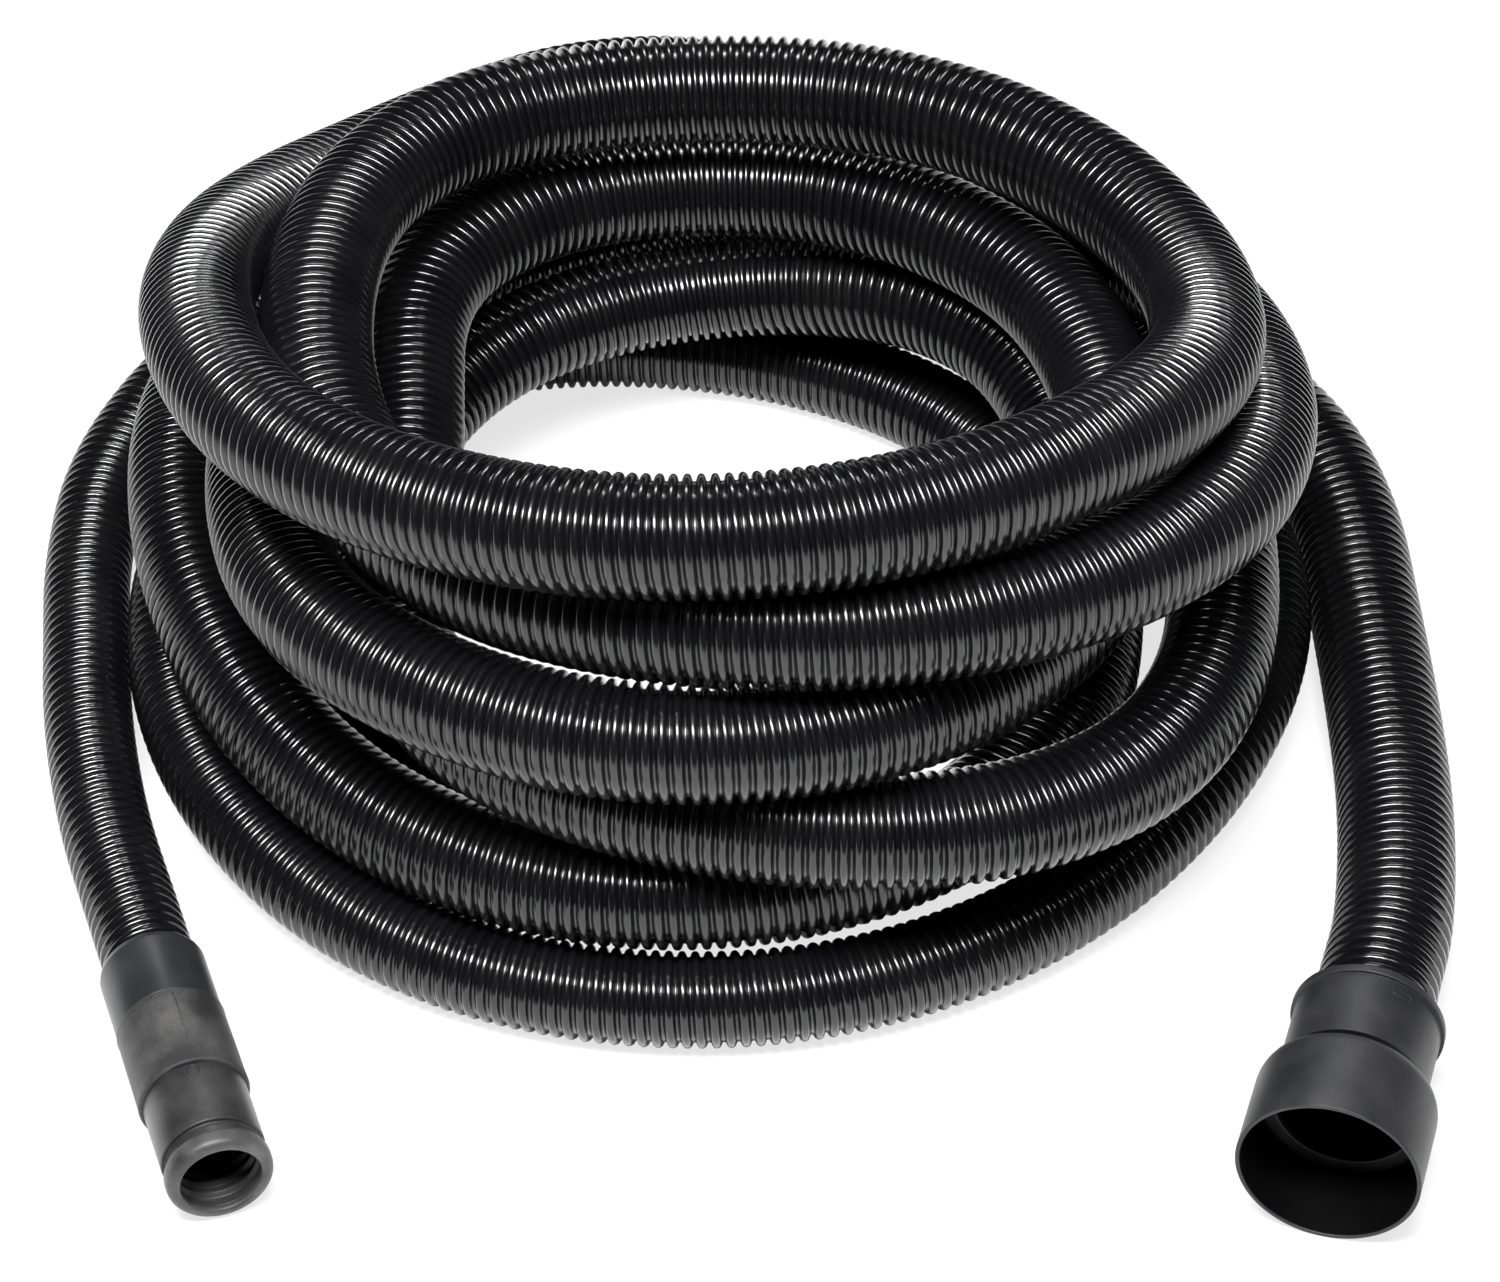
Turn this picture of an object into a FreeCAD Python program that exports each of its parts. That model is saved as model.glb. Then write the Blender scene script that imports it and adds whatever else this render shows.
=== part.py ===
import FreeCAD
import Part

import math
import os

# A corrugated vacuum hose of about 9 m, dropped on the floor in seven and a half loose turns.
# The hose is thin at the tool end (front left) and thick at the machine end (front right),
# and a cuff turns freely on each end. Millimetres, +Z up, seen from the front along +Y.
# The origin is on the floor under the middle of the whole part.

Vector = FreeCAD.Vector

# hose
TOOL_END_OD = 32.0
LOWER_TURNS_OD = 33.0
UPPER_TURNS_OD = 40.0
MACHINE_END_OD = 41.0
RIB_DEPTH = 1.9
HOSE_WALL = 0.6
RIB_PITCH = 4.6
RIB_CREST_SHARE = 0.40
RIB_SLOPE_SHARE = 0.18
TAPER_FIRST_STATION = 11
TAPER_LAST_STATION = 16

# pile: a row for each turn, clockwise seen from above, in distances from the pile's upright axis
# and heights of the hose's centreline above the floor
PILE_X = -3.0
PILE_Y = 11.2
STATIONS_PER_TURN = 8
# columns: left, back left, back, back right, right, front right, front, front left
REACH = (
    (234, 255, 245, 199, 198, 186, 187, 195),
    (200, 198, 167, 145, 126, 129, 140, 139),
    (131, 142, 145, 144, 131, 154, 170, 177),
    (193, 226, 202, 188, 174, 202, 177, 149),
    (111, 142, 146, 140, 137, 162, 187, 179),
    (162, 183, 186, 183, 187, 191, 174, 152),
    (140, 150, 139, 144, 165, 172, 179, 177),
    (181, 194, 241, 232),
)
HEIGHT = (
    (17, 24, 19, 19, 32, 20, 17, 18),
    (27, 19, 17, 18, 18, 18, 20, 24),
    (35, 54, 64, 74, 57, 53, 51, 51),
    (68, 49, 39, 62, 88, 86, 92, 93),
    (100, 112, 113, 116, 121, 124, 133, 123),
    (105, 69, 78, 105, 133, 166, 173, 159),
    (165, 160, 161, 167, 173, 205, 215, 198),
    (170, 124, 88, 38),
)

# free ends of the hose: points across and along from the pile's axis, and heights above the floor
TOOL_TAIL = ((-234, 3, 16.9), (-230, -47, 17.0), (-217, -101, None))
TOOL_HEADING = 18.0
TOOL_LAST_RUN = 77.0
MACHINE_TAIL = ((237, 15, 21.2), (240, -45, 21.3), (238, -105, 24.5), (229, -164, None))
MACHINE_HEADING = -16.0
MACHINE_LAST_RUN = 48.0

# tool cuff, from its back face towards the mouth
COLLAR_OD = 36.5
COLLAR_LENGTH = 29.0
COLLAR_WALL = 1.2
COLLAR_BACK_LIP = 2.5
COLLAR_FRONT_WALL = 3.0
SLEEVE_OD = 37.5
SLEEVE_LENGTH = 35.0
NOZZLE_OD = 36.0
NOZZLE_LENGTH = 23.0
NOZZLE_TUBE_WALL = 2.1
TOOL_BORE = 27.0
GROOVE_WIDTH = 1.4
GROOVE_DEPTH = 1.2
LIP_OD = 36.0
LIP_LENGTH = 13.6
LIP_ROUND = 1.9
NUB_DIAMETER = 3.0
NUB_HEIGHT = 0.6
BUSH_LENGTH = 21.0

# machine cuff, from its back face towards the mouth
RIM_OD = 52.0
RIM_LENGTH = 3.0
BARREL_OD = 49.5
BARREL_LENGTH = 19.0
SHOULDER_LENGTH = 13.0
MOUTH_OD = 61.0
MOUTH_BORE = 58.0
MOUTH_LENGTH = 39.0
SHELL_WALL = 1.6
BUSH_FLANGE_THICKNESS = 1.8
BUSH_TUBE_WALL = 2.6
STOP_RING_BORE = 47.0
STOP_RING_THICKNESS = 2.4
STOP_RING_DEPTH = 33.0
WINDOW_WIDTH = 7.4
WINDOW_LENGTH = 2.6
WINDOW_PROUD = 0.5
WINDOW_RIM = 0.7
WINDOW_AT = 8.0
WINDOW_ANGLE = 27.0

# snap rings of both cuffs, and clearances
RING_THICKNESS = 1.4
RING_GAP_ANGLE = 24.0
TURNING_CLEARANCE = 0.05
END_CLEARANCE = 0.10
HOSE_CLEARANCE = 0.45
PARTING_GAP = 0.25


def circle_wire(point, direction, radius):
    """Circle square to the path whose start point stays on the same side of the hose."""
    across = direction.cross(Vector(0, 0, 1)).normalize()
    upward = across.cross(direction).normalize()
    turn = FreeCAD.Rotation(across, upward * -1, direction, "ZXY")
    ring = Part.makeCircle(radius)
    ring.Placement = FreeCAD.Placement(point, turn)
    return Part.Wire(ring)


def arc_edge(start, tangent, end):
    """Arc that leaves start along the tangent and reaches end, or a line if end is straight ahead."""
    chord = end - start
    normal = tangent.cross(chord)
    if normal.Length < 1e-6 * chord.Length:
        return Part.makeLine(start, end)
    side = normal.cross(tangent).normalize()
    radius = chord.dot(chord) / (2 * chord.dot(side))
    centre = start + side * radius
    outward = ((start + end) * 0.5 - centre).normalize()
    return Part.Arc(start, centre + outward * radius, end).toShape()


def biarc_edges(start, start_tangent, end, end_tangent):
    """Two arcs from start to end that meet smoothly and keep both end tangents."""
    chord = end - start
    tangents = start_tangent + end_tangent
    square = 2 * (1 - start_tangent.dot(end_tangent))
    linear = 2 * chord.dot(tangents)
    constant = -chord.dot(chord)
    if abs(square) < 1e-9:
        reach = -constant / linear
    else:
        reach = (-linear + math.sqrt(linear * linear - 4 * square * constant)) / (2 * square)
    first_corner = start + start_tangent * reach
    second_corner = end - end_tangent * reach
    middle = (first_corner + second_corner) * 0.5
    heading = (second_corner - first_corner).normalize()
    return [arc_edge(start, start_tangent, middle), arc_edge(middle, heading, end)]


def smooth_tangent(before, here, after):
    """Direction at here of the circle through three points."""
    back = here - before
    ahead = after - here
    return (back * (ahead.Length / back.Length) + ahead * (back.Length / ahead.Length)).normalize()


def rounded_path(points):
    """Straight runs joined by tangent arcs, each as large as its two runs allow."""
    edges = []
    start = points[0]
    for before, corner, after in zip(points, points[1:], points[2:]):
        back = before - corner
        ahead = after - corner
        trim = 0.45 * min(back.Length, ahead.Length)
        half_turn = 0.5 * (math.pi - back.getAngle(ahead))
        print("bend radius %.0f mm" % (trim / math.tan(half_turn)))
        entry = corner + back * (trim / back.Length)
        leave = corner + ahead * (trim / ahead.Length)
        edges.append(Part.makeLine(start, entry))
        edges.append(arc_edge(entry, (corner - entry).normalize(), leave))
        start = leave
    edges.append(Part.makeLine(start, points[-1]))
    return edges


def walk(edges, distance):
    """Point and direction at a distance along the path."""
    for edge in edges:
        if distance <= edge.Length or edge is edges[-1]:
            place = edge.getParameterByLength(min(distance, edge.Length))
            return edge.valueAt(place), edge.tangentAt(place)
        distance -= edge.Length


def heading_vector(degrees):
    """Level direction, 0 towards the front and positive to the right."""
    angle = math.radians(degrees)
    return Vector(math.sin(angle), -math.cos(angle), 0)


def pile_point(across, along, height):
    """Point given from the pile's axis."""
    return Vector(PILE_X + across, PILE_Y + along, height)


def station_point(station):
    """Centreline of the hose at a station of the pile, counted from the left of the first turn."""
    turn, column = divmod(station, STATIONS_PER_TURN)
    angle = math.pi - 2 * math.pi * station / STATIONS_PER_TURN
    reach = REACH[turn][column]
    return pile_point(reach * math.cos(angle), reach * math.sin(angle), HEIGHT[turn][column])


def cuff_placement(point, heading):
    """Frame of a cuff: local Z runs along its axis to the mouth, local Y is up."""
    axis = heading_vector(heading)
    up = Vector(0, 0, 1)
    return FreeCAD.Placement(point, FreeCAD.Rotation(up.cross(axis), up, axis, "ZXY"))


def tube_solid(outer_shells, inner_shells, outer_ends, inner_ends):
    """Closed tube from its outer and inner skins and the rings at its two ends."""
    faces = []
    for shell in outer_shells + inner_shells:
        faces.extend(shell.Faces)
    for outer, inner in zip(outer_ends, inner_ends):
        faces.append(Part.makeFace([outer, inner], "Part::FaceMakerBullseye"))
    skin = Part.makeShell(faces)
    skin.sewShape()
    solid = Part.makeSolid(Part.Shell(skin.Faces))
    if solid.Volume < 0:
        solid.reverse()
    return solid


def pipe_skin(edges, start_radius, end_radius):
    """Skin of a pipe along tangent arcs, even or tapered."""
    maker = Part.BRepOffsetAPI.MakePipeShell(Part.Wire(edges))
    first, last = edges[0], edges[-1]
    maker.add(circle_wire(first.valueAt(first.FirstParameter), first.tangentAt(first.FirstParameter), start_radius))
    if end_radius != start_radius:
        maker.add(circle_wire(last.valueAt(last.LastParameter), last.tangentAt(last.LastParameter), end_radius))
    maker.build()
    return maker.shape()


def wall_under(diameter):
    """Depth from the crest of a rib to the bore; the thicker hose has deeper ribs."""
    return RIB_DEPTH * diameter / TOOL_END_OD + HOSE_WALL


def bore_radius(diameter):
    """Radius of the smooth bore under a hose diameter."""
    return diameter / 2 - wall_under(diameter)


def hose_coil(start, start_heading, end, end_heading):
    """The turns as one unbroken tube: thin lower turns, a taper under the pile, thick upper turns."""
    start_lead = start - start_heading * LOWER_TURNS_OD
    end_lead = end - end_heading * MACHINE_END_OD
    count = sum(len(row) for row in REACH)
    points = [start_lead] + [station_point(k) for k in range(1, count)] + [end_lead]
    tangents = [start_heading * -1]
    for before, here, after in zip(points, points[1:], points[2:]):
        tangents.append(smooth_tangent(before, here, after))
    tangents.append(end_heading)
    spans = []
    for k in range(len(points) - 1):
        spans.append(biarc_edges(points[k], tangents[k], points[k + 1], tangents[k + 1]))
    lower = [Part.makeLine(start, start_lead)] + sum(spans[:TAPER_FIRST_STATION], [])
    taper = sum(spans[TAPER_FIRST_STATION:TAPER_LAST_STATION], [])
    upper = sum(spans[TAPER_LAST_STATION:], []) + [Part.makeLine(end_lead, end)]
    skins = []
    for radius in (lambda diameter: diameter / 2, bore_radius):
        thin, thick = radius(LOWER_TURNS_OD), radius(UPPER_TURNS_OD)
        skins.append([pipe_skin(lower, thin, thin), pipe_skin(taper, thin, thick), pipe_skin(upper, thick, thick)])
    ends = []
    for radius in (lambda diameter: diameter / 2, bore_radius):
        ends.append([
            circle_wire(start, start_heading, radius(LOWER_TURNS_OD)),
            circle_wire(end, end_heading, radius(UPPER_TURNS_OD)),
        ])
    solid = tube_solid(skins[0], skins[1], ends[0], ends[1])
    return solid, [lower, taper, upper]


def ribbed_tail(points, start_diameter, end_diameter, ribbed_length):
    """Free end of the hose, from its joint with the pile to the part that sits plain in the cuff."""
    edges = rounded_path(points)
    length = sum(edge.Length for edge in edges)
    ribs = int(ribbed_length / RIB_PITCH)
    outer, inner = [], []

    def diameter_at(distance):
        share = min(distance / ribbed_length, 1.0)
        return start_diameter + (end_diameter - start_diameter) * share

    def add(wires, distance, radius):
        point, direction = walk(edges, distance)
        wires.append(circle_wire(point, direction, radius))

    valley_start = RIB_CREST_SHARE + RIB_SLOPE_SHARE
    for rib in range(ribs):
        base = rib * RIB_PITCH
        for share, deep in ((0, False), (RIB_CREST_SHARE, False), (valley_start, True), (1 - RIB_SLOPE_SHARE, True)):
            distance = base + share * RIB_PITCH
            diameter = diameter_at(distance)
            valley = bore_radius(diameter) + HOSE_WALL
            add(outer, distance, valley if deep else diameter / 2)
        add(inner, base, bore_radius(diameter_at(base)))
    plain_start = (ribs - 1 + valley_start) * RIB_PITCH
    add(outer, length, bore_radius(end_diameter) + HOSE_WALL)
    add(inner, plain_start, bore_radius(diameter_at(plain_start)))
    add(inner, length, bore_radius(end_diameter))
    outer_skin = Part.makeLoft(outer, False, True)
    inner_skin = Part.makeLoft(inner, False, True)
    solid = tube_solid([outer_skin], [inner_skin], [outer[0], outer[-1]], [inner[0], inner[-1]])
    print("tail %.0f mm with %d ribs" % (length, ribs))
    return solid, edges


def turned(corners, placement):
    """Ring turned from a closed outline of (radius, along, corner round)."""
    edges = []
    count = len(corners)
    trims = []
    for k, (radius, along, rounding) in enumerate(corners):
        here = Vector(radius, 0, along)
        before = Vector(corners[k - 1][0], 0, corners[k - 1][1])
        after = Vector(corners[(k + 1) % count][0], 0, corners[(k + 1) % count][1])
        back = (before - here).normalize()
        ahead = (after - here).normalize()
        if rounding:
            half = 0.5 * back.getAngle(ahead)
            trim = rounding / math.tan(half)
            middle = here + (back + ahead).normalize() * (rounding / math.sin(half) - rounding)
            trims.append((here + back * trim, middle, here + ahead * trim))
        else:
            trims.append((here, None, here))
    for k, (entry, middle, leave) in enumerate(trims):
        if middle is not None:
            edges.append(Part.Arc(entry, middle, leave).toShape())
        following = trims[(k + 1) % count][0]
        if (following - leave).Length > 1e-6:
            edges.append(Part.makeLine(leave, following))
    ring = Part.Face(Part.Wire(edges)).revolve(Vector(0, 0, 0), Vector(0, 0, 1), 360)
    ring.Placement = placement
    return ring


def snap_ring(inner, outer, along, placement):
    """Open wire ring that springs into a groove; its gap faces down."""
    ring = Part.makeCylinder(outer, RING_THICKNESS, Vector(0, 0, along))
    ring = ring.cut(Part.makeCylinder(inner, RING_THICKNESS, Vector(0, 0, along)))
    gap = 2 * outer * math.sin(math.radians(RING_GAP_ANGLE / 2))
    slot = Part.makeBox(gap, outer + 1, RING_THICKNESS, Vector(-gap / 2, -outer - 1, along))
    ring = ring.cut(slot)
    ring.Placement = placement
    return ring


def tool_cuff(placement):
    """Pieces of the tool cuff by node name."""
    hose_end = bore_radius(TOOL_END_OD) + HOSE_WALL
    bearing = COLLAR_OD / 2 - COLLAR_WALL
    bush_outer = bearing - TURNING_CLEARANCE
    bush_back = COLLAR_BACK_LIP + END_CLEARANCE
    bush_front = bush_back + BUSH_LENGTH
    ring_back = bush_front + END_CLEARANCE
    ring_front = ring_back + RING_THICKNESS
    tube_outer = TOOL_BORE / 2 + NOZZLE_TUBE_WALL
    back_hole = TOOL_END_OD / 2 + HOSE_CLEARANCE
    ring_depth = COLLAR_WALL / 2
    inside_front = COLLAR_LENGTH - COLLAR_FRONT_WALL
    sleeve_front = COLLAR_LENGTH + SLEEVE_LENGTH
    nozzle_front = sleeve_front + NOZZLE_LENGTH
    lip_back = nozzle_front + GROOVE_WIDTH
    lip_front = lip_back + LIP_LENGTH
    neck = NOZZLE_OD / 2 - GROOVE_DEPTH

    collar = turned((
        (back_hole, 0, 0.4),
        (COLLAR_OD / 2, 0, 1.2),
        (COLLAR_OD / 2, COLLAR_LENGTH, 0.4),
        (tube_outer, COLLAR_LENGTH, 0),
        (tube_outer, inside_front, 0),
        (bearing, inside_front, 0),
        (bearing, ring_front, 0),
        (bearing + ring_depth, ring_front, 0),
        (bearing + ring_depth, ring_back, 0),
        (bearing, ring_back, 0),
        (bearing, COLLAR_BACK_LIP, 0),
        (back_hole, COLLAR_BACK_LIP, 0),
    ), placement)
    bush = turned((
        (hose_end, bush_back, 0),
        (bush_outer, bush_back, 0.3),
        (bush_outer, bush_front, 0.3),
        (hose_end, bush_front, 0),
    ), placement)
    sleeve = turned((
        (tube_outer, COLLAR_LENGTH, 0),
        (SLEEVE_OD / 2, COLLAR_LENGTH, 0.8),
        (SLEEVE_OD / 2, sleeve_front, 0.8),
        (tube_outer, sleeve_front, 0),
    ), placement)
    nozzle = turned((
        (TOOL_BORE / 2, inside_front, 0.4),
        (tube_outer, inside_front, 0),
        (tube_outer, sleeve_front, 0),
        (NOZZLE_OD / 2, sleeve_front, 0.4),
        (NOZZLE_OD / 2, nozzle_front, 0.4),
        (neck, nozzle_front, 0),
        (neck, lip_back, 0),
        (tube_outer, lip_back, 0),
        (tube_outer, lip_front - LIP_ROUND, 0),
        (TOOL_BORE / 2, lip_front - LIP_ROUND, 0),
    ), placement)
    nub = Part.makeCylinder(NUB_DIAMETER / 2, NUB_HEIGHT + 1, Vector(0, NOZZLE_OD / 2 - 1, 0), Vector(0, 1, 0))
    nub.translate(Vector(0, 0, sleeve_front + NUB_DIAMETER))
    nub.Placement = placement.multiply(nub.Placement)
    nozzle = nozzle.fuse(nub).removeSplitter()
    lip = turned((
        (tube_outer, lip_back, 0),
        (LIP_OD / 2, lip_back, 0.6),
        (LIP_OD / 2, lip_front, LIP_ROUND),
        (TOOL_BORE / 2, lip_front, 0.9),
        (TOOL_BORE / 2, lip_front - LIP_ROUND, 0),
        (tube_outer, lip_front - LIP_ROUND, 0),
    ), placement)
    ring = snap_ring(hose_end + HOSE_CLEARANCE, bearing + ring_depth - TURNING_CLEARANCE, ring_back, placement)
    return {
        "tool_bush": bush,
        "tool_collar": collar,
        "tool_snap_ring": ring,
        "tool_sleeve": sleeve,
        "tool_nozzle": nozzle,
        "tool_lip": lip,
    }


def machine_cuff(placement):
    """Pieces of the machine cuff by node name."""
    hose_end = bore_radius(MACHINE_END_OD) + HOSE_WALL
    bearing = BARREL_OD / 2 - SHELL_WALL
    bush_outer = bearing - TURNING_CLEARANCE
    flange_outer = RIM_OD / 2 - 1.4
    flange_front = END_CLEARANCE + BUSH_FLANGE_THICKNESS
    barrel_front = BARREL_LENGTH
    shoulder_front = BARREL_LENGTH + SHOULDER_LENGTH
    mouth_front = shoulder_front + MOUTH_LENGTH
    ring_back = barrel_front + END_CLEARANCE
    ring_front = ring_back + RING_THICKNESS
    bush_front = ring_front + RING_THICKNESS
    ring_depth = BUSH_TUBE_WALL / 3
    stop_front = STOP_RING_DEPTH + STOP_RING_THICKNESS
    stop_outer = MOUTH_BORE / 2 - SHELL_WALL / 2

    shell = turned((
        (flange_outer + PARTING_GAP, 0, 0),
        (RIM_OD / 2, 0, 0.6),
        (RIM_OD / 2, RIM_LENGTH, 0.5),
        (BARREL_OD / 2, RIM_LENGTH, 0.3),
        (BARREL_OD / 2, barrel_front, 3.0),
        (MOUTH_OD / 2 - 0.6, shoulder_front - 4.0, 4.0),
        (MOUTH_OD / 2, mouth_front, 0.5),
        (MOUTH_BORE / 2, mouth_front, 0.5),
        (MOUTH_BORE / 2, stop_front, 0),
        (stop_outer, stop_front, 0),
        (stop_outer, STOP_RING_DEPTH, 0),
        (MOUTH_BORE / 2 - SHELL_WALL, STOP_RING_DEPTH, 0),
        (MOUTH_BORE / 2 - SHELL_WALL, shoulder_front - 3.0, 1.5),
        (bearing + SHELL_WALL, barrel_front, 0.6),
        (bearing, barrel_front, 0),
        (bearing, flange_front + END_CLEARANCE, 0),
        (flange_outer + PARTING_GAP, flange_front + END_CLEARANCE, 0),
    ), placement)
    window_back = WINDOW_AT - WINDOW_LENGTH / 2
    frame = Part.makeBox(WINDOW_WIDTH, SHELL_WALL / 2 + WINDOW_PROUD + 0.4, WINDOW_LENGTH,
                         Vector(-WINDOW_WIDTH / 2, BARREL_OD / 2 - SHELL_WALL / 2 - 0.4, window_back))
    pocket = Part.makeBox(WINDOW_WIDTH - 2 * WINDOW_RIM, WINDOW_PROUD + 0.1, WINDOW_LENGTH - 2 * WINDOW_RIM,
                          Vector(WINDOW_RIM - WINDOW_WIDTH / 2, BARREL_OD / 2, window_back + WINDOW_RIM))
    frame = frame.cut(pocket)
    frame.rotate(Vector(0, 0, 0), Vector(0, 0, 1), -WINDOW_ANGLE)
    frame.Placement = placement.multiply(frame.Placement)
    shell = shell.fuse(frame).removeSplitter()
    bush = turned((
        (hose_end, END_CLEARANCE, 0),
        (flange_outer, END_CLEARANCE, 0.4),
        (flange_outer, flange_front, 0),
        (bush_outer, flange_front, 0),
        (bush_outer, ring_back, 0),
        (bush_outer - ring_depth, ring_back, 0),
        (bush_outer - ring_depth, ring_front, 0),
        (bush_outer, ring_front, 0),
        (bush_outer, bush_front, 0.5),
        (hose_end, bush_front, 0.5),
    ), placement)
    stop = turned((
        (STOP_RING_BORE / 2, STOP_RING_DEPTH, 0.4),
        (stop_outer, STOP_RING_DEPTH, 0),
        (stop_outer, stop_front, 0),
        (STOP_RING_BORE / 2, stop_front, 0.6),
    ), placement)
    ring = snap_ring(bush_outer - ring_depth + TURNING_CLEARANCE, bearing + SHELL_WALL / 2, ring_back, placement)
    return {
        "machine_bush": bush,
        "machine_shell": shell,
        "machine_snap_ring": ring,
        "machine_stop_ring": stop,
    }


def least_gap(samples):
    """Smallest air gap between stretches of hose that are more than three diameters apart along it."""
    least = 1e9
    for k, (point, radius, distance) in enumerate(samples):
        for other, other_radius, other_distance in samples[k + 1:]:
            if abs(other_distance - distance) > 3 * UPPER_TURNS_OD:
                least = min(least, (other - point).Length - radius - other_radius)
    return least


def sample(edges, start_diameter, end_diameter, offset, sign=1):
    """Points every 8 mm or so along a path, with the hose's radius and distance along the hose."""
    length = sum(edge.Length for edge in edges)
    steps = int(length / 8)
    samples = []
    for step in range(steps + 1):
        share = step / steps
        point, _ = walk(edges, share * length)
        diameter = start_diameter + (end_diameter - start_diameter) * share
        samples.append((point, diameter / 2, offset + sign * share * length))
    return samples


def main():
    os.makedirs("parts", exist_ok=True)
    tool_axis = heading_vector(TOOL_HEADING)
    machine_axis = heading_vector(MACHINE_HEADING)
    tool_height = SLEEVE_OD / 2
    machine_height = MOUTH_OD / 2
    tool_points = [pile_point(x, y, tool_height if z is None else z) for x, y, z in TOOL_TAIL]
    machine_points = [pile_point(x, y, machine_height if z is None else z) for x, y, z in MACHINE_TAIL]
    tool_back = tool_points[-1] + tool_axis * TOOL_LAST_RUN
    machine_back = machine_points[-1] + machine_axis * MACHINE_LAST_RUN
    tool_plain = COLLAR_BACK_LIP + END_CLEARANCE + BUSH_LENGTH
    machine_plain = BARREL_LENGTH
    tool_points.append(tool_back + tool_axis * tool_plain)
    machine_points.append(machine_back + machine_axis * machine_plain)

    def run_length(points):
        return sum(edge.Length for edge in rounded_path(points))

    tool_ribbed = run_length(tool_points) - tool_plain
    machine_ribbed = run_length(machine_points) - machine_plain
    tool_tail, tool_edges = ribbed_tail(tool_points, LOWER_TURNS_OD, TOOL_END_OD, tool_ribbed)
    machine_tail, machine_edges = ribbed_tail(machine_points, UPPER_TURNS_OD, MACHINE_END_OD, machine_ribbed)
    first = (tool_points[1] - tool_points[0]).normalize()
    last = (machine_points[1] - machine_points[0]).normalize()
    coil, coil_paths = hose_coil(tool_points[0], first, machine_points[0], last)

    nodes = {"hose_coil": coil, "tool_tail": tool_tail, "machine_tail": machine_tail}
    nodes.update(tool_cuff(cuff_placement(tool_back, TOOL_HEADING)))
    nodes.update(machine_cuff(cuff_placement(machine_back, MACHINE_HEADING)))
    for name, shape in nodes.items():
        solid = shape if shape.ShapeType == "Solid" else shape.Solids[0]
        if not solid.isValid() or len(shape.Solids) != 1:
            print("check", name, solid.isValid(), len(shape.Solids))
        solid.exportStep("parts/%s.step" % name)
        print("%-18s %8.1f cm3" % (name, solid.Volume / 1000))

    tool_length = sum(edge.Length for edge in tool_edges)
    machine_length = sum(edge.Length for edge in machine_edges)
    coil_length = sum(edge.Length for part in coil_paths for edge in part)
    samples = sample(tool_edges, LOWER_TURNS_OD, TOOL_END_OD, 0, -1)
    done = 0
    diameters = (LOWER_TURNS_OD, LOWER_TURNS_OD, UPPER_TURNS_OD, UPPER_TURNS_OD)
    for path, start_diameter, end_diameter in zip(coil_paths, diameters, diameters[1:]):
        samples += sample(path, start_diameter, end_diameter, done)
        done += sum(edge.Length for edge in path)
    samples += sample(machine_edges, UPPER_TURNS_OD, MACHINE_END_OD, done)
    arcs = [edge for path in coil_paths for edge in path if hasattr(edge.Curve, "Radius")]
    print("hose %.0f mm: coil %.0f, tails %.0f and %.0f" % (
        coil_length + tool_length + machine_length, coil_length, tool_length, machine_length))
    print("tightest arc %.0f mm" % min(arc.Curve.Radius for arc in arcs))
    print("least gap to itself %.2f mm" % least_gap(samples))
    box = FreeCAD.BoundBox()
    for shape in nodes.values():
        box.add(shape.optimalBoundingBox(False))
    print("box", box)


main()
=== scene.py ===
"""Looks of a corrugated vacuum hose that lies in a loose pile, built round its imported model.

The hose is one long run from the tool cuff to the machine cuff. Its corrugated wall is made in
lengths of about one turn, and the two cuffs that turn on its ends are dressed piece by piece.
Everything is in metres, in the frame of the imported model.
"""

import logging
import math
from collections.abc import Sequence
from dataclasses import dataclass, field
from enum import Enum

import bmesh
import bpy
import numpy as np
from mathutils import Euler, Matrix, Vector


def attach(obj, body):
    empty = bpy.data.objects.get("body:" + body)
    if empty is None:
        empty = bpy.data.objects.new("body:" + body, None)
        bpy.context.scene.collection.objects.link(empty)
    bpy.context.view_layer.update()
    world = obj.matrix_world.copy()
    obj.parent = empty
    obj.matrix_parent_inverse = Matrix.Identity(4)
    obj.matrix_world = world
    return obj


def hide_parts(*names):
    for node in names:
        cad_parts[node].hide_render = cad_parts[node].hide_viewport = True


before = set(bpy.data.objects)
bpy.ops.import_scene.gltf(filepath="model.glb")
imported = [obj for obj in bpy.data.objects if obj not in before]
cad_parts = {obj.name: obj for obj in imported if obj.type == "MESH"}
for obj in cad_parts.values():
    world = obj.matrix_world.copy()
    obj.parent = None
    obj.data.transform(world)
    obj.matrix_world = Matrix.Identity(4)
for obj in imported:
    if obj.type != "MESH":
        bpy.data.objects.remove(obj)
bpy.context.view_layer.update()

log = logging.getLogger("hose")
MM = 0.001

HOSE_BODY = "hose"
TOOL_BODY = "tool_cuff"
MACHINE_BODY = "machine_cuff"


BEAD_SIDES = 8


class RibMeasure(Enum):
    """What a corner of a rib's profile is asked for."""

    ALONG = 0
    HEIGHT = 1


@dataclass(frozen=True)
class CuffAxis:
    """A cuff's place: its back face, the level direction to its mouth and the way up."""

    back: Vector
    forward: Vector

    @property
    def across(self) -> Vector:
        """Level direction to the right of someone who looks out of the mouth."""
        return Vector((0, 0, 1)).cross(self.forward)

    def matrix(self) -> Matrix:
        """Frame with X across, Y up and Z along the axis to the mouth."""
        columns = Matrix((self.across, Vector((0, 0, 1)), self.forward)).transposed()
        return Matrix.Translation(self.back) @ columns.to_4x4()


def level_heading(degrees: float) -> Vector:
    """Level direction, 0 towards the front and positive to the right.

    Args:
        degrees: Angle from the front.

    Returns:
        A unit vector.
    """
    angle = math.radians(degrees)
    return Vector((math.sin(angle), -math.cos(angle), 0.0))


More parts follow.
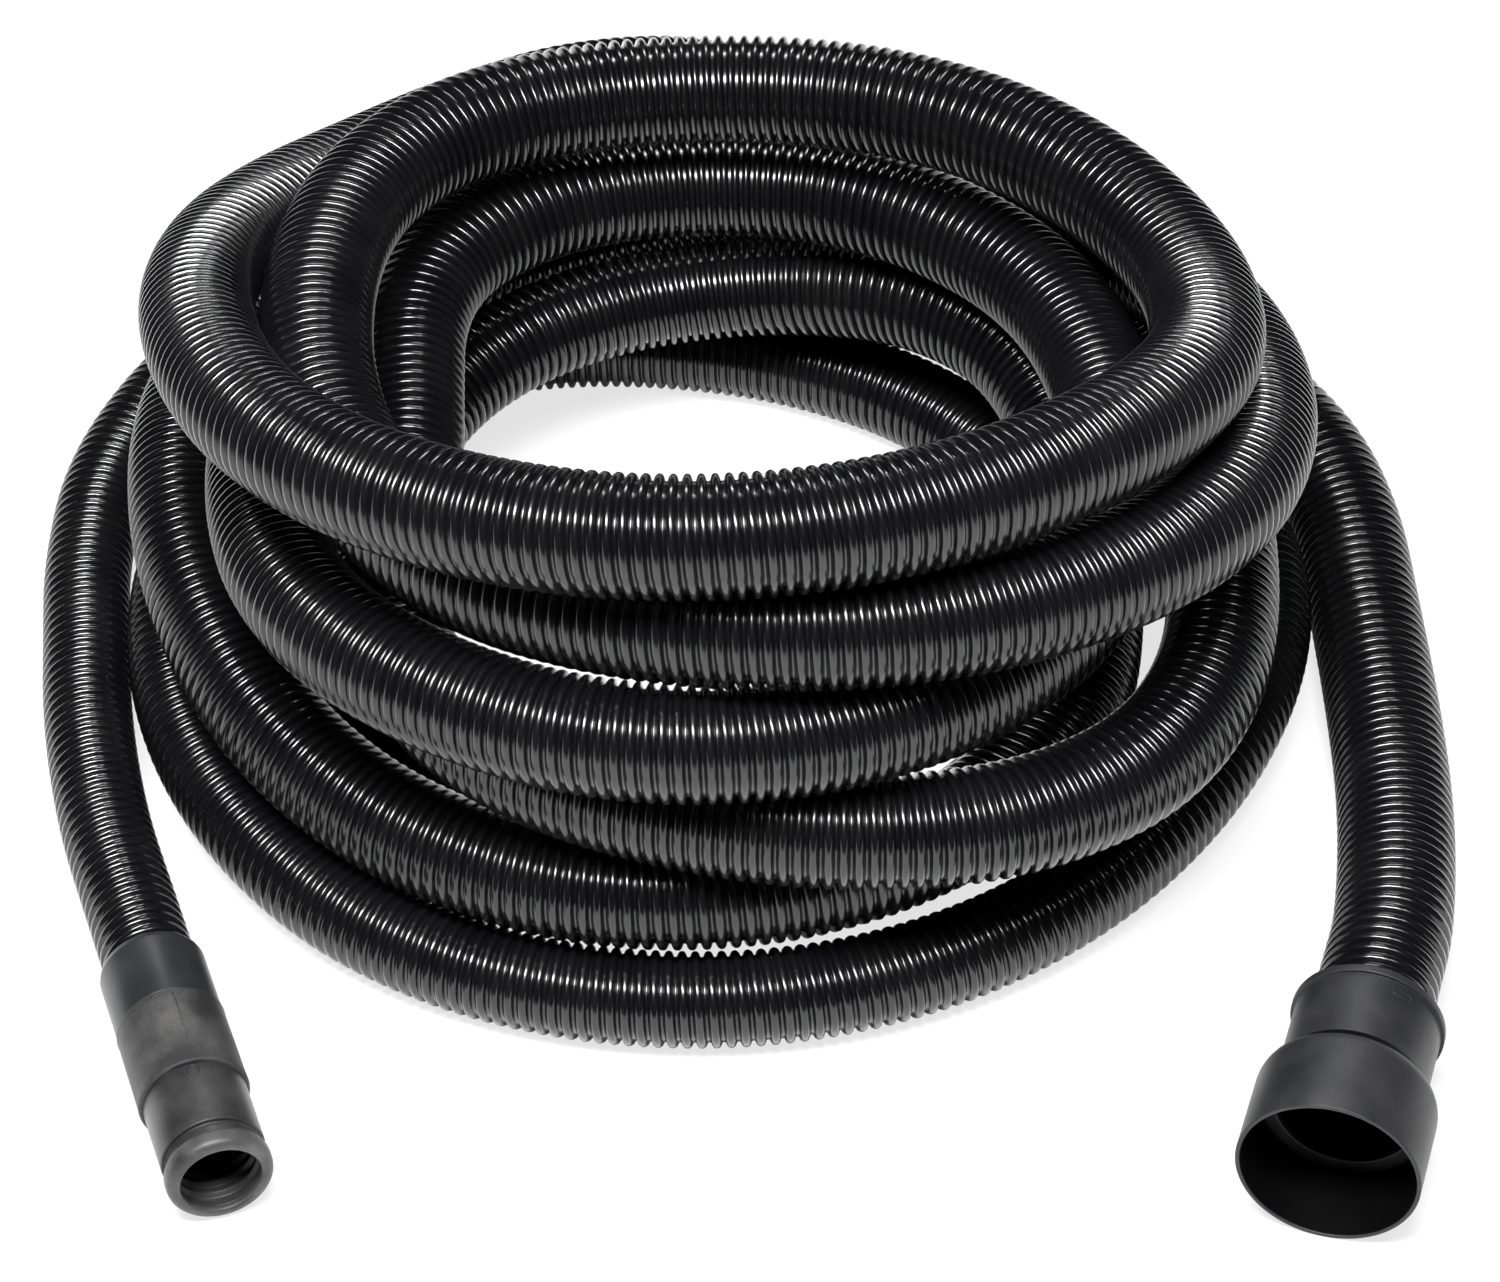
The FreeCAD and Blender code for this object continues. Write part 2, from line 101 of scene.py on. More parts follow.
@dataclass(frozen=True)
class HoseRoute:
    """Route of the hose, from its end in the tool cuff to its end in the machine cuff.

    The pile's turns are given by their reach from an upright axis and by the height of the
    hose's centreline, eight stations to a turn, clockwise from the left as seen from above.
    """

    pile_axis: tuple[float, float] = (-0.003, 0.0112)
    stations_per_turn: int = 8
    steps_per_station: int = 3
    reach: tuple[tuple[float, ...], ...] = (
        (0.234, 0.255, 0.245, 0.199, 0.198, 0.186, 0.187, 0.195),
        (0.200, 0.198, 0.167, 0.145, 0.126, 0.129, 0.140, 0.139),
        (0.131, 0.142, 0.145, 0.144, 0.131, 0.154, 0.170, 0.177),
        (0.193, 0.226, 0.202, 0.188, 0.174, 0.202, 0.177, 0.149),
        (0.111, 0.142, 0.146, 0.140, 0.137, 0.162, 0.186, 0.178),
        (0.162, 0.183, 0.186, 0.183, 0.187, 0.191, 0.174, 0.151),
        (0.140, 0.150, 0.139, 0.144, 0.165, 0.172, 0.179, 0.177),
        (0.181, 0.194, 0.241, 0.232),
    )
    height: tuple[tuple[float, ...], ...] = (
        (0.017, 0.024, 0.019, 0.019, 0.032, 0.020, 0.017, 0.018),
        (0.027, 0.019, 0.017, 0.018, 0.018, 0.018, 0.020, 0.024),
        (0.035, 0.054, 0.064, 0.074, 0.057, 0.053, 0.051, 0.051),
        (0.068, 0.049, 0.039, 0.062, 0.088, 0.086, 0.092, 0.093),
        (0.100, 0.112, 0.113, 0.116, 0.121, 0.124, 0.1335, 0.1255),
        (0.105, 0.069, 0.078, 0.105, 0.133, 0.166, 0.173, 0.1595),
        (0.165, 0.160, 0.161, 0.167, 0.173, 0.205, 0.215, 0.198),
        (0.170, 0.124, 0.088, 0.038),
    )
    tool_tail: tuple[tuple[float, float, float], ...] = (
        (-0.233, 0.003, 0.0169),
        (-0.228, -0.047, 0.0170),
        (-0.217, -0.101, 0.01875),
    )
    tool_heading: float = 18.0
    tool_last_run: float = 0.077
    tool_lead: float = 0.033
    tool_straight: float = 0.033
    tool_depth: float = 0.0236
    machine_tail: tuple[tuple[float, float, float], ...] = (
        (0.235, 0.015, 0.0212),
        (0.237, -0.045, 0.0213),
        (0.236, -0.105, 0.0245),
        (0.229, -0.164, 0.0305),
    )
    machine_heading: float = -16.0
    machine_last_run: float = 0.048
    machine_lead: float = 0.041
    machine_straight: float = 0.024
    machine_depth: float = 0.019
    resolution: int = 12

    def at_pile(self, across: float, along: float, up: float) -> Vector:
        """Point given from the pile's axis, in the model's frame."""
        return Vector((self.pile_axis[0] + across, self.pile_axis[1] + along, up))

    def station(self, index: int) -> Vector:
        """Centreline at a station, counted from the left of the first turn.

        Args:
            index: Station number, eight to a turn.

        Returns:
            The point in the model's frame.
        """
        turn, column = divmod(index, self.stations_per_turn)
        angle = math.pi - 2 * math.pi * index / self.stations_per_turn
        reach = self.reach[turn][column]
        return self.at_pile(reach * math.cos(angle), reach * math.sin(angle), self.height[turn][column])

    def cuff(self, tail: Sequence[tuple[float, float, float]], heading: float, run: float) -> CuffAxis:
        """Axis of the cuff at the end of a tail.

        Args:
            tail: The tail's points, from the pile outwards.
            heading: Direction of the last run, in degrees.
            run: Length of the last run, up to the cuff's back face.

        Returns:
            The cuff's place.
        """
        forward = level_heading(heading)
        return CuffAxis(self.at_pile(*tail[-1]) + forward * run, forward)

    @property
    def tool_cuff(self) -> CuffAxis:
        """Place of the tool cuff."""
        return self.cuff(self.tool_tail, self.tool_heading, self.tool_last_run)

    @property
    def machine_cuff(self) -> CuffAxis:
        """Place of the machine cuff."""
        return self.cuff(self.machine_tail, self.machine_heading, self.machine_last_run)

    def tail_points(
        self, tail: Sequence[tuple[float, float, float]], cuff: CuffAxis, straight: float, depth: float
    ) -> list[Vector]:
        """Control points of a tail, from the pile to the hose's end inside the cuff.

        Args:
            tail: The tail's points, from the pile outwards.
            cuff: Place of the cuff.
            straight: Length that runs straight into the cuff.
            depth: How far the hose reaches into the cuff.

        Returns:
            The points in order.
        """
        points = [self.at_pile(*point) for point in tail]
        points.append(cuff.back - cuff.forward * straight)
        points.append(cuff.back + cuff.forward * depth)
        return points

    def turn_points(self, first: Vector, last: Vector, before: Vector, after: Vector) -> list[Vector]:
        """Points that the pile's turns pass through, between their two leads.

        Args:
            first: End of the tool tail's lead.
            last: End of the machine tail's lead.
            before: Point on the tool tail, one lead behind the first.
            after: Point on the machine tail, one lead past the last.

        Returns:
            The points, several to a station, first and last among them.
        """
        count = sum(len(row) for row in self.reach)
        knots = [first] + [self.station(index) for index in range(1, count)] + [last]
        tangents = [(first - before).normalized()]
        for here in range(1, len(knots) - 1):
            back = knots[here] - knots[here - 1]
            ahead = knots[here + 1] - knots[here]
            back_share = ahead.length / back.length
            ahead_share = back.length / ahead.length
            tangents.append((back * back_share + ahead * ahead_share).normalized())
        tangents.append((after - last).normalized())
        points = [first]
        for here, there, leave, arrive in zip(knots, knots[1:], tangents, tangents[1:]):
            pull = (there - here).length / math.cos(leave.angle(arrive) / 4) ** 2
            for step in range(1, self.steps_per_station + 1):
                t = step / self.steps_per_station
                points.append(
                    here * (2 * t**3 - 3 * t**2 + 1)
                    + leave * pull * (t**3 - 2 * t**2 + t)
                    + there * (3 * t**2 - 2 * t**3)
                    + arrive * pull * (t**3 - t**2)
                )
        return points

    def control_points(self) -> list[Vector]:
        """Control points of the whole route, with the turns set out so that the spline meets them."""
        tool = self.tail_points(self.tool_tail, self.tool_cuff, self.tool_straight, self.tool_depth)
        machine = self.tail_points(
            self.machine_tail, self.machine_cuff, self.machine_straight, self.machine_depth
        )
        first = tool[0] - (tool[1] - tool[0]).normalized() * self.tool_lead
        last = machine[0] - (machine[1] - machine[0]).normalized() * self.machine_lead
        turns = self.turn_points(first, last, tool[0], machine[0])
        inner = [
            here + (here * 2 - back - ahead) / 8
            for back, here, ahead in zip(turns, turns[1:], turns[2:])
        ]
        return list(reversed(tool)) + [first] + inner + [last] + machine

    def build(self) -> bpy.types.Object:
        """Makes the route's spline.

        Returns:
            A curve object with no thickness.
        """
        curve = bpy.data.curves.new("hose_route", "CURVE")
        curve.dimensions = "3D"
        curve.twist_mode = "MINIMUM"
        points = self.control_points()
        spline = curve.splines.new("NURBS")
        spline.points.add(len(points) - 1)
        for slot, point in zip(spline.points, points):
            slot.co = (*point, 1.0)
        spline.order_u = 3
        spline.use_endpoint_u = True
        spline.resolution_u = self.resolution
        curve.resolution_u = self.resolution
        route = bpy.data.objects.new("hose_route", curve)
        bpy.context.scene.collection.objects.link(route)
        bpy.context.view_layer.update()
        return route


@dataclass
class Centreline:
    """Points read from the route's spline, with their distances from the tool end."""

    route: bpy.types.Object
    points: np.ndarray = field(init=False)
    distances: np.ndarray = field(init=False)

    def __post_init__(self) -> None:
        """Reads the spline as the evaluated curve gives it."""
        evaluated = self.route.evaluated_get(bpy.context.evaluated_depsgraph_get())
        mesh = bpy.data.meshes.new_from_object(evaluated)
        flat = np.zeros(len(mesh.vertices) * 3)
        mesh.vertices.foreach_get("co", flat)
        bpy.data.meshes.remove(mesh)
        self.points = flat.reshape(-1, 3)
        steps = np.linalg.norm(np.diff(self.points, axis=0), axis=1)
        self.distances = np.concatenate(([0.0], np.cumsum(steps)))

    @property
    def length(self) -> float:
        """Length of the whole hose."""
        return float(self.distances[-1])

    def nearest(self, point: Vector) -> float:
        """Finds the point of the hose that is nearest to another.

        Args:
            point: The other point.

        Returns:
            The found point's distance along the hose.
        """
        away = np.linalg.norm(self.points - np.array(point), axis=1)
        return float(self.distances[away.argmin()])


def link(graph: bpy.types.NodeTree, source: bpy.types.NodeSocket, target: bpy.types.NodeSocket) -> None:
    """Joins two sockets of a node tree."""
    graph.links.new(source, target)


def math_node(
    graph: bpy.types.NodeTree, operation: str, *values: bpy.types.NodeSocket | float
) -> bpy.types.NodeSocket:
    """Adds a Math node.

    Args:
        graph: Geometry or shader tree.
        operation: Name of the node's operation.
        values: Sockets or numbers for its inputs, in order.

    Returns:
        The result's socket.
    """
    node = graph.nodes.new("ShaderNodeMath")
    node.operation = operation
    for slot, value in zip(node.inputs, values):
        if isinstance(value, bpy.types.NodeSocket):
            link(graph, value, slot)
        else:
            slot.default_value = value
    return node.outputs[0]


def vector_node(
    graph: bpy.types.NodeTree, operation: str, first: bpy.types.NodeSocket, second: bpy.types.NodeSocket
) -> bpy.types.NodeSocket:
    """Adds a Vector Math node of two inputs.

    Args:
        graph: Geometry tree.
        operation: Name of the node's operation.
        first: The first vector.
        second: The second vector, or the factor where the operation is a scale.

    Returns:
        The result's socket.
    """
    node = graph.nodes.new("ShaderNodeVectorMath")
    node.operation = operation
    link(graph, first, node.inputs[0])
    link(graph, second, node.inputs["Scale"] if operation == "SCALE" else node.inputs[1])
    return node.outputs["Vector"]


@dataclass(frozen=True)
class RibProfile:
    """Outline of one corrugation: shares of the pitch along the hose and of the depth."""

    corners: tuple[tuple[float, float], ...] = (
        (0.00, 0.00),
        (0.20, 0.00),
        (0.27, 0.42),
        (0.36, 0.78),
        (0.50, 0.98),
        (0.70, 0.98),
        (0.84, 0.78),
        (0.93, 0.42),
    )


@dataclass
class CorrugatedWall:
    """Geometry Nodes tree that winds a corrugated wall round the route.

    A flat grid is laid round the route: one way round the hose, the other way along it. The
    corrugation is one long screw, so each row of the grid runs on into the next. The rows run
    up the outside rib by rib, and come back along the smooth bore with one row to a rib.
    """

    profile: RibProfile = RibProfile()
    weld: float = 0.00002
    crisp_angle: float = 72.0
    tree: bpy.types.NodeTree = field(init=False)
    sockets: dict[str, str] = field(init=False, default_factory=dict)

    def __post_init__(self) -> None:
        """Builds the tree."""
        self.tree = bpy.data.node_groups.new("CorrugatedWall", "GeometryNodeTree")
        self.add_interface()
        self.add_nodes()

    def add_interface(self) -> None:
        """Adds the named inputs and the output."""
        wanted = (
            ("Route", "NodeSocketObject"),
            ("Material", "NodeSocketMaterial"),
            ("Start", "NodeSocketFloat"),
            ("Pitch", "NodeSocketFloat"),
            ("Ribs", "NodeSocketInt"),
            ("Segments", "NodeSocketInt"),
            ("Start Diameter", "NodeSocketFloat"),
            ("End Diameter", "NodeSocketFloat"),
            ("Depth Share", "NodeSocketFloat"),
            ("Wall", "NodeSocketFloat"),
        )
        interface = self.tree.interface
        for name, kind in wanted:
            socket = interface.new_socket(name=name, in_out="INPUT", socket_type=kind)
            self.sockets[name] = socket.identifier
        interface.new_socket(name="Geometry", in_out="OUTPUT", socket_type="NodeSocketGeometry")

    def switch(self, index: bpy.types.NodeSocket, measure: RibMeasure) -> bpy.types.NodeSocket:
        """Picks a corner of the rib's profile by number.

        Args:
            index: Number of the corner.
            measure: What the corner is asked for.

        Returns:
            The picked value's socket.
        """
        node = self.tree.nodes.new("GeometryNodeIndexSwitch")
        node.data_type = "FLOAT"
        while len(node.index_switch_items) < len(self.profile.corners):
            node.index_switch_items.new()
        link(self.tree, index, node.inputs["Index"])
        for slot, corner in zip(node.inputs[1:], self.profile.corners):
            slot.default_value = corner[measure.value]
        return node.outputs[0]

    def choose(
        self, inside: bpy.types.NodeSocket, outer: bpy.types.NodeSocket, inner: bpy.types.NodeSocket
    ) -> bpy.types.NodeSocket:
        """Takes one value on the outside and another in the bore.

        Args:
            inside: True in the bore.
            outer: Value on the outside.
            inner: Value in the bore.

        Returns:
            The taken value's socket.
        """
        node = self.tree.nodes.new("GeometryNodeSwitch")
        node.input_type = "FLOAT"
        link(self.tree, inside, node.inputs["Switch"])
        link(self.tree, outer, node.inputs["False"])
        link(self.tree, inner, node.inputs["True"])
        return node.outputs[0]

    def add_nodes(self) -> None:
        """Adds the grid, the corrugation, the way round the route and the finish."""
        tree = self.tree
        nodes = tree.nodes
        source = nodes.new("NodeGroupInput").outputs
        per_rib = len(self.profile.corners)
        outer = math_node(tree, "MULTIPLY", source["Ribs"], per_rib)
        rows = math_node(tree, "ADD", math_node(tree, "ADD", outer, source["Ribs"]), 2)

        grid = nodes.new("GeometryNodeMeshGrid")
        link(tree, math_node(tree, "ADD", source["Segments"], 1), grid.inputs["Vertices X"])
        link(tree, math_node(tree, "ADD", rows, 1), grid.inputs["Vertices Y"])
        place = nodes.new("ShaderNodeSeparateXYZ")
        link(tree, nodes.new("GeometryNodeInputPosition").outputs[0], place.inputs[0])
        around = math_node(tree, "ADD", place.outputs["X"], 0.5)
        level = math_node(tree, "MULTIPLY", math_node(tree, "ADD", place.outputs["Y"], 0.5), rows)
        row = math_node(tree, "FLOORED_MODULO", math_node(tree, "ROUND", level), rows)
        inside = math_node(tree, "GREATER_THAN", row, math_node(tree, "ADD", outer, 0.5))
        corner = math_node(tree, "FLOORED_MODULO", row, per_rib)
        above = math_node(tree, "ADD", row, 0.5)
        rib = math_node(tree, "FLOOR", math_node(tree, "DIVIDE", above, per_rib))
        climbed = math_node(tree, "ADD", rib, self.switch(corner, RibMeasure.ALONG))
        returned = math_node(tree, "SUBTRACT", math_node(tree, "SUBTRACT", rows, 1), row)
        along = math_node(tree, "ADD", self.choose(inside, climbed, returned), around)
        travelled = math_node(tree, "MULTIPLY", along, source["Pitch"])
        distance = math_node(tree, "ADD", source["Start"], travelled)

        share = math_node(tree, "DIVIDE", along, source["Ribs"])
        growth = math_node(tree, "SUBTRACT", source["End Diameter"], source["Start Diameter"])
        diameter = math_node(tree, "MULTIPLY_ADD", growth, share, source["Start Diameter"])
        half = math_node(tree, "MULTIPLY", diameter, 0.5)
        full = math_node(tree, "MULTIPLY", diameter, source["Depth Share"])
        sunk = math_node(tree, "SUBTRACT", 1.0, self.switch(corner, RibMeasure.HEIGHT))
        depth = math_node(tree, "MULTIPLY", full, sunk)
        bore = math_node(tree, "SUBTRACT", math_node(tree, "SUBTRACT", half, full), source["Wall"])
        radius = self.choose(inside, math_node(tree, "SUBTRACT", half, depth), bore)

        info = nodes.new("GeometryNodeObjectInfo")
        link(tree, source["Route"], info.inputs["Object"])
        sampled = nodes.new("GeometryNodeSampleCurve")
        sampled.mode = "LENGTH"
        sampled.use_all_curves = False
        link(tree, info.outputs["Geometry"], sampled.inputs["Curves"])
        link(tree, distance, sampled.inputs["Length"])
        side = vector_node(tree, "CROSS_PRODUCT", sampled.outputs["Tangent"], sampled.outputs["Normal"])
        angle = math_node(tree, "MULTIPLY", around, 2 * math.pi)
        right = math_node(tree, "MULTIPLY", math_node(tree, "COSINE", angle), radius)
        up = math_node(tree, "MULTIPLY", math_node(tree, "SINE", angle), radius)
        offset = vector_node(
            tree,
            "ADD",
            vector_node(tree, "SCALE", sampled.outputs["Normal"], right),
            vector_node(tree, "SCALE", side, up),
        )
        target = vector_node(tree, "ADD", sampled.outputs["Position"], offset)

        surface = nodes.new("ShaderNodeCombineXYZ")
        link(tree, around, surface.inputs["X"])
        link(tree, distance, surface.inputs["Y"])
        store = nodes.new("GeometryNodeStoreNamedAttribute")
        store.data_type = "FLOAT2"
        store.domain = "CORNER"
        store.inputs["Name"].default_value = "surface"
        link(tree, grid.outputs["Mesh"], store.inputs["Geometry"])
        link(tree, surface.outputs[0], store.inputs["Value"])
        move = nodes.new("GeometryNodeSetPosition")
        link(tree, store.outputs["Geometry"], move.inputs["Geometry"])
        link(tree, target, move.inputs["Position"])
        merge = nodes.new("GeometryNodeMergeByDistance")
        merge.inputs["Distance"].default_value = self.weld
        link(tree, move.outputs["Geometry"], merge.inputs["Geometry"])
        smooth = nodes.new("GeometryNodeSetShadeSmooth")
        link(tree, merge.outputs["Geometry"], smooth.inputs["Geometry"])
        real = nodes.new("GeometryNodeRealizeInstances")
        link(tree, smooth.outputs["Geometry"], real.inputs["Geometry"])
        finish = nodes.new("GeometryNodeSetMaterial")
        link(tree, real.outputs["Geometry"], finish.inputs["Geometry"])
        link(tree, source["Material"], finish.inputs["Material"])
        link(tree, finish.outputs["Geometry"], nodes.new("NodeGroupOutput").inputs["Geometry"])

    def wind(self, name: str, values: dict[str, object]) -> bpy.types.Object:
        """Makes one length of hose as a plain closed mesh.

        Args:
            name: Name of the piece.
            values: The tree's inputs by name.

        Returns:
            The finished object.
        """
        blank = bpy.data.objects.new(name + "_blank", bpy.data.meshes.new(name + "_blank"))
        bpy.context.scene.collection.objects.link(blank)
        nodes = blank.modifiers.new("wall", "NODES")
        nodes.node_group = self.tree
        for key, value in values.items():
            nodes[self.sockets[key]] = value
        bpy.context.view_layer.update()
        made = blank.evaluated_get(bpy.context.evaluated_depsgraph_get())
        mesh = bpy.data.meshes.new_from_object(made)
        mesh.name = name
        self.close_ends(mesh)
        bpy.data.objects.remove(blank)
        return new_piece(name, mesh)

    def close_ends(self, mesh: bpy.types.Mesh) -> None:
        """Closes the step that the screw leaves at each end, and keeps the ends crisp.

        Args:
            mesh: The length of hose.
        """
        graph = bmesh.new()
        graph.from_mesh(mesh)
        bmesh.ops.holes_fill(graph, edges=[edge for edge in graph.edges if edge.is_boundary], sides=0)
        graph.to_mesh(mesh)
        graph.free()
        mesh.set_sharp_from_angle(angle=math.radians(self.crisp_angle))


@dataclass
class Hose:
    """The corrugated hose, in lengths of about a turn and two free ends.

    The ribs stand a little wider apart on the free ends, which lie pulled out.
    """

    route: HoseRoute
    material: bpy.types.Material
    pitch: float = 4.6 * MM
    low_pitch: float = 4.7 * MM
    end_pitch: float = 4.9 * MM
    wall: float = 0.7 * MM
    depth_share: float = 0.061
    segments: int = 34
    quick_segments: int = 16
    end_diameter: float = 32 * MM
    turn_diameters: tuple[float, ...] = (
        32.0 * MM,
        33.2 * MM,
        37.0 * MM,
        39.0 * MM,
        39.3 * MM,
        39.6 * MM,
        39.9 * MM,
        40.4 * MM,
        41.0 * MM,
    )
    plain_end: float = 2 * MM

    def marks(self, line: Centreline) -> list[float]:
        """Finds where one length of hose ends and the next starts.

        Args:
            line: The hose's centreline.

        Returns:
            Distances along the hose.
        """
        per_turn = self.route.stations_per_turn
        count = sum(len(row) for row in self.route.reach)
        joint = self.route.at_pile(*self.route.tool_tail[0])
        marks = [line.nearest(joint)]
        marks += [line.nearest(self.route.station(index)) for index in range(per_turn, count, per_turn)]
        return marks

    def build(self) -> None:
        """Makes every length of the hose, attaches each to the hose's body and hides the nodes that it
        stands in for.
        """
        spline = self.route.build()
        line = Centreline(spline)
        wall = CorrugatedWall()
        ends = [self.plain_end] + self.marks(line) + [line.length - self.plain_end]
        diameters = [self.end_diameter] + list(self.turn_diameters)
        names = ["tool_end_hose"]
        names += [f"hose_turn_{turn + 1}" for turn in range(len(ends) - 3)]
        names += ["machine_end_hose"]
        nodes = [("tool_tail",)] + [("hose_coil",)] * (len(names) - 2) + [("hose_coil", "machine_tail")]
        segments = self.segments
        last = len(names) - 1
        pitches = [self.end_pitch, self.low_pitch] + [self.pitch] * (len(names) - 3) + [self.end_pitch]
        for number, (name, replaced) in enumerate(zip(names, nodes)):
            start = ends[number]
            ribs = round((ends[number + 1] - start) / pitches[number])
            pitch = (ends[number + 1] - start) / ribs
            if number == last:
                ribs -= 1
            widths = diameters[number], diameters[number + 1]
            values = {
                "Route": spline,
                "Material": self.material,
                "Start": start,
                "Pitch": pitch,
                "Ribs": ribs,
                "Segments": segments,
                "Start Diameter": widths[0],
                "End Diameter": widths[1],
                "Depth Share": self.depth_share,
                "Wall": self.wall,
            }
            piece = wall.wind(name, values)
            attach(piece, HOSE_BODY)
            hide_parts(*replaced)
        log.info("whole hose: %.3f m", line.length)
        curve = spline.data
        bpy.data.objects.remove(spline)
        bpy.data.curves.remove(curve)


@dataclass(frozen=True)
class Lumps:
    """Noise of one size.

    Attributes:
        size: Size of a lump, in metres.
        detail: Octaves of finer noise.
    """

    size: float
    detail: float


@dataclass(frozen=True)
class Finish:
    """A moulded plastic or rubber finish.

    Attributes:
        name: Name of the material.
        color: Base colour, linear.
        roughness: Lowest and highest roughness over the surface.
        grain_height: Height of the moulded grain.
        dust: Share of pale dust in patches.
        specular: Reflection at normal incidence, as the shader has it.
        metallic: 1 on metal.
        dust_color: Colour of the dust, linear.
        grain: Size of the moulded grain.
        patches: Size of the rougher and smoother patches.
        patch_span: Part of that noise that the roughness is spread over.
        specks: Size of the specks of dust.
        speck_gain: How much the specks stand out.
        speck_base: Dust between the specks.
        clouds: Size of the dusty areas.
        dust_span: Part of the dust's noise from none to all of it.
    """

    name: str
    color: tuple[float, float, float]
    roughness: tuple[float, float]
    grain_height: float = 0.02 * MM
    dust: float = 0.0
    specular: float = 0.5
    metallic: float = 0.0
    dust_color: tuple[float, float, float] = (0.24, 0.235, 0.225)
    grain: Lumps = Lumps(0.6 * MM, 2.0)
    patches: Lumps = Lumps(0.03, 4.0)
    patch_span: tuple[float, float] = (0.3, 0.7)
    specks: Lumps = Lumps(0.0006, 2.0)
    speck_gain: float = 0.8
    speck_base: float = 0.5
    clouds: Lumps = Lumps(0.018, 3.0)
    dust_span: tuple[float, float] = (0.33, 0.66)

    def build(self) -> bpy.types.Material:
        """Makes the material.

        Returns:
            The node material.
        """
        material = bpy.data.materials.new(self.name)
        material.use_nodes = True
        tree = material.node_tree
        shader = tree.nodes["Principled BSDF"]
        shader.inputs["Metallic"].default_value = self.metallic
        shader.inputs["Specular IOR Level"].default_value = self.specular
        where = tree.nodes.new("ShaderNodeTexCoord").outputs["Object"]

        patches = self.noise(tree, where, self.patches)
        spread = tree.nodes.new("ShaderNodeMapRange")
        link(tree, patches, spread.inputs["Value"])
        spread.inputs["From Min"].default_value = self.patch_span[0]
        spread.inputs["From Max"].default_value = self.patch_span[1]
        spread.inputs["To Min"].default_value = self.roughness[0]
        spread.inputs["To Max"].default_value = self.roughness[1]
        link(tree, spread.outputs[0], shader.inputs["Roughness"])

        fine = self.noise(tree, where, self.specks)
        specks = math_node(tree, "MULTIPLY_ADD", fine, self.speck_gain, self.speck_base)
        clouds = self.noise(tree, where, self.clouds)
        settled = math_node(tree, "MULTIPLY", specks, clouds)
        amount = tree.nodes.new("ShaderNodeMapRange")
        link(tree, settled, amount.inputs["Value"])
        amount.inputs["From Min"].default_value = self.dust_span[0]
        amount.inputs["From Max"].default_value = self.dust_span[1]
        amount.inputs["To Max"].default_value = self.dust
        mix = tree.nodes.new("ShaderNodeMix")
        mix.data_type = "RGBA"
        link(tree, amount.outputs[0], mix.inputs["Factor"])
        mix.inputs["A"].default_value = (*self.color, 1.0)
        mix.inputs["B"].default_value = (*self.dust_color, 1.0)
        link(tree, mix.outputs["Result"], shader.inputs["Base Color"])

        bump = tree.nodes.new("ShaderNodeBump")
        bump.inputs["Strength"].default_value = 1.0
        bump.inputs["Distance"].default_value = self.grain_height
        link(tree, self.noise(tree, where, self.grain), bump.inputs["Height"])
        link(tree, bump.outputs[0], shader.inputs["Normal"])
        return material

    @staticmethod
    def noise(
        tree: bpy.types.NodeTree, where: bpy.types.NodeSocket, lumps: Lumps
    ) -> bpy.types.NodeSocket:
        """Adds noise whose lumps are about a given size.

        Args:
            tree: The material's tree.
            where: Coordinates to read.
            lumps: Size of the noise.

        Returns:
            The noise's value, from 0 to 1.
        """
        node = tree.nodes.new("ShaderNodeTexNoise")
        node.inputs["Scale"].default_value = 1.0 / lumps.size
        node.inputs["Detail"].default_value = lumps.detail
        link(tree, where, node.inputs["Vector"])
        return node.outputs[0]


@dataclass(frozen=True)
class Finishes:
    """All finishes of the hose and its cuffs."""

    hose: Finish = Finish(
        "GlossyHosePlastic",
        (0.0025, 0.0025, 0.003),
        (0.17, 0.23),
        grain_height=0.004 * MM,
        dust=0.008,
    )
    collar: Finish = Finish(
        "SatinCollarPlastic",
        (0.011, 0.0115, 0.013),
        (0.36, 0.46),
        dust=0.05,
        specular=0.35,
    )
    sleeve: Finish = Finish(
        "DustySleeveRubber",
        (0.013, 0.013, 0.014),
        (0.50, 0.64),
        grain_height=0.03 * MM,
        dust=0.21,
        specular=0.35,
    )
    nozzle: Finish = Finish(
        "SatinNozzlePlastic",
        (0.011, 0.011, 0.012),
        (0.38, 0.48),
        dust=0.12,
        specular=0.35,
    )
    lip: Finish = Finish(
        "LipRubber",
        (0.016, 0.016, 0.017),
        (0.44, 0.56),
        grain_height=0.03 * MM,
        dust=0.24,
        specular=0.4,
    )
    shell: Finish = Finish(
        "GrainedShellPlastic",
        (0.0075, 0.0078, 0.0092),
        (0.46, 0.56),
        dust=0.05,
        specular=0.32,
    )
    # Painted shade: a near-black, barely reflecting material put on the inside of the machine cuff's
    # shell for the shade in its bore.
    bore: Finish = Finish(
        "PaintedShadeBore",
        (0.001, 0.001, 0.0012),
        (0.60, 0.70),
        dust=0.003,
        specular=0.04,
    )
    inner: Finish = Finish(
        "InnerBushPlastic",
        (0.010, 0.010, 0.011),
        (0.38, 0.48),
        dust=0.12,
        specular=0.35,
    )
    wire: Finish = Finish(
        "SpringWire",
        (0.55, 0.55, 0.55),
        (0.25, 0.35),
        metallic=1.0,
    )


Corner = tuple[float, float, float]


